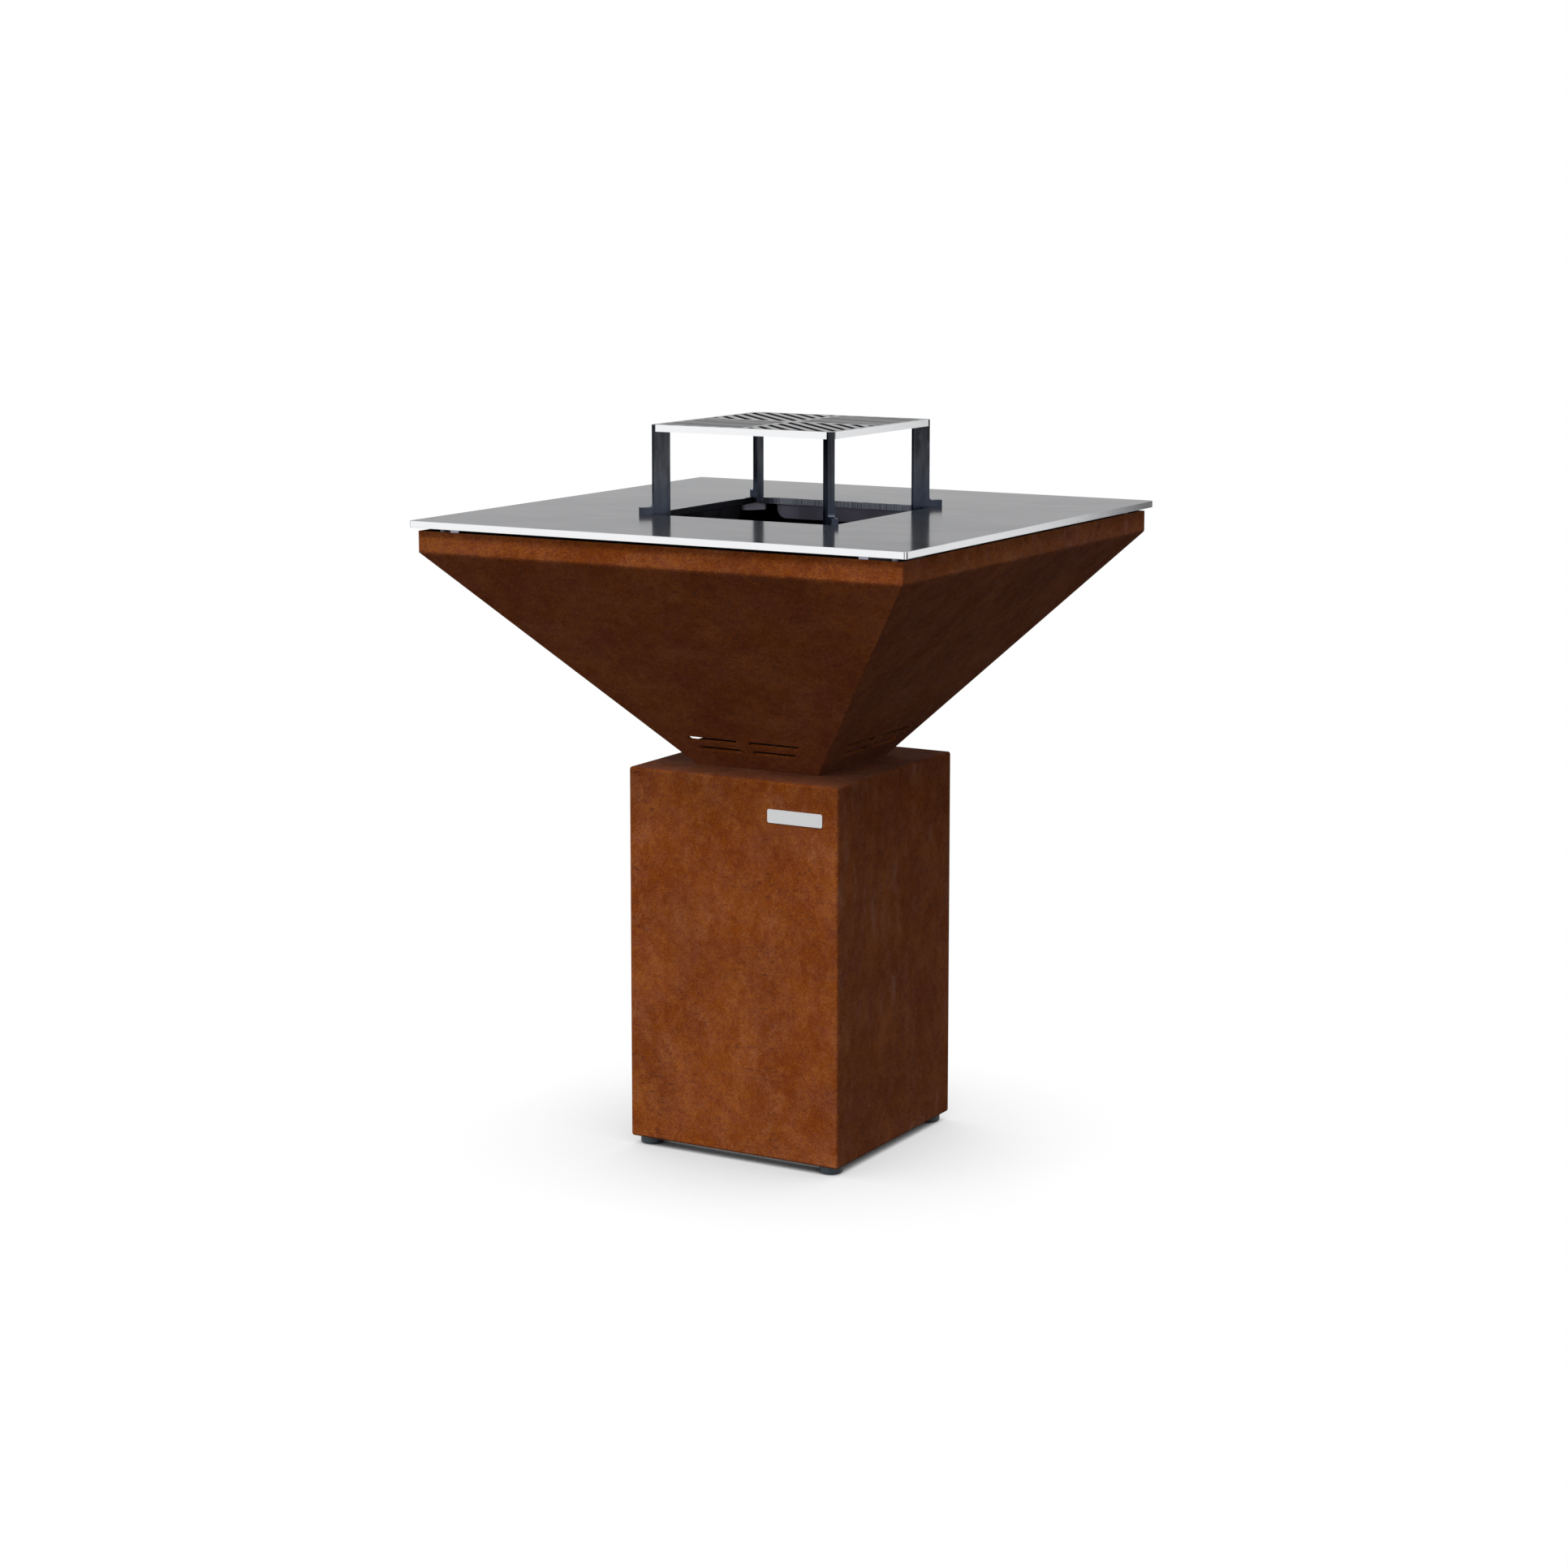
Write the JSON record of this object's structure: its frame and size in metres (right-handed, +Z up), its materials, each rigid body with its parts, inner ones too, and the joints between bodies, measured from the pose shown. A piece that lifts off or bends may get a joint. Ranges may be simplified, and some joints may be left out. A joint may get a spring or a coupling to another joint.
{
  "type": "fire pit with grate",
  "caption": "Square weathering-steel fire pit on a box pedestal, with a thick steel cooking plate round the fire hole and a raised grate on legs.",
  "frame": {"origin": "centre of the footprint, on the floor under the feet", "axes": "+Z up; -Y is the front, with the nameplate on the pedestal; +X to the right seen from the front"},
  "size_m": [0.8, 0.8, 1.068],
  "materials": {
    "weathering_steel": "matte",
    "plate_steel": "satin",
    "leg_steel": "gloss",
    "mill_steel": "satin",
    "zinc_steel": "satin",
    "stainless_steel": "satin",
    "foot_rubber": "satin"
  },
  "bodies": {
    "root": {"pedestal_shell": "weathering_steel", "foot_weld_nuts": "zinc_steel", "nameplate": "stainless_steel", "bowl_floor": "weathering_steel", "bowl_bolts": "zinc_steel", "bowl_washers": "zinc_steel", "bowl_nuts": "zinc_steel", "bowl_panel_front": "weathering_steel", "bowl_panel_right": "weathering_steel", "bowl_panel_back": "weathering_steel", "bowl_panel_left": "weathering_steel", "rest_bar_front_right": "mill_steel", "rest_bar_back_right": "mill_steel", "rest_bar_back_left": "mill_steel", "rest_bar_front_left": "mill_steel"},
    "cooking_plate": {"cooking_plate": "plate_steel", "locating_pins": "mill_steel", "plate_rib_front": "mill_steel", "plate_rib_right": "mill_steel", "plate_rib_back": "mill_steel", "plate_rib_left": "mill_steel", "corner_block_front_right": "mill_steel", "corner_block_back_right": "mill_steel", "corner_block_back_left": "mill_steel", "corner_block_front_left": "mill_steel"},
    "grill_rack": {"cooking_grate": "plate_steel", "grate_leg_front_right": "leg_steel", "grate_leg_back_right": "leg_steel", "grate_leg_back_left": "leg_steel", "grate_leg_front_left": "leg_steel"},
    "ember_grate": {"ember_grate": "mill_steel"},
    "foot_front_right": {"foot_pad_front_right": "foot_rubber", "foot_stud_front_right": "zinc_steel"},
    "foot_back_right": {"foot_pad_back_right": "foot_rubber", "foot_stud_back_right": "zinc_steel"},
    "foot_back_left": {"foot_pad_back_left": "foot_rubber", "foot_stud_back_left": "zinc_steel"},
    "foot_front_left": {"foot_pad_front_left": "foot_rubber", "foot_stud_front_left": "zinc_steel"}
  },
  "joints": [
    {"name": "plate_lift", "type": "slide", "parent": "root", "child": "cooking_plate", "axis": [0, 0, 1], "range_m": [0, 0.3]},
    {"name": "rack_lift", "type": "slide", "parent": "cooking_plate", "child": "grill_rack", "axis": [0, 0, 1], "range_m": [0, 0.2]},
    {"name": "ember_grate_lift", "type": "slide", "parent": "root", "child": "ember_grate", "axis": [0, 0, 1], "range_m": [0, 0.4]},
    {"name": "foot_screw_front_right", "type": "slide", "parent": "root", "child": "foot_front_right", "axis": [0, 0, 1], "range_m": [-0.015, 0]},
    {"name": "foot_screw_back_right", "type": "slide", "parent": "root", "child": "foot_back_right", "axis": [0, 0, 1], "range_m": [-0.015, 0]},
    {"name": "foot_screw_back_left", "type": "slide", "parent": "root", "child": "foot_back_left", "axis": [0, 0, 1], "range_m": [-0.015, 0]},
    {"name": "foot_screw_front_left", "type": "slide", "parent": "root", "child": "foot_front_left", "axis": [0, 0, 1], "range_m": [-0.015, 0]}
  ]
}
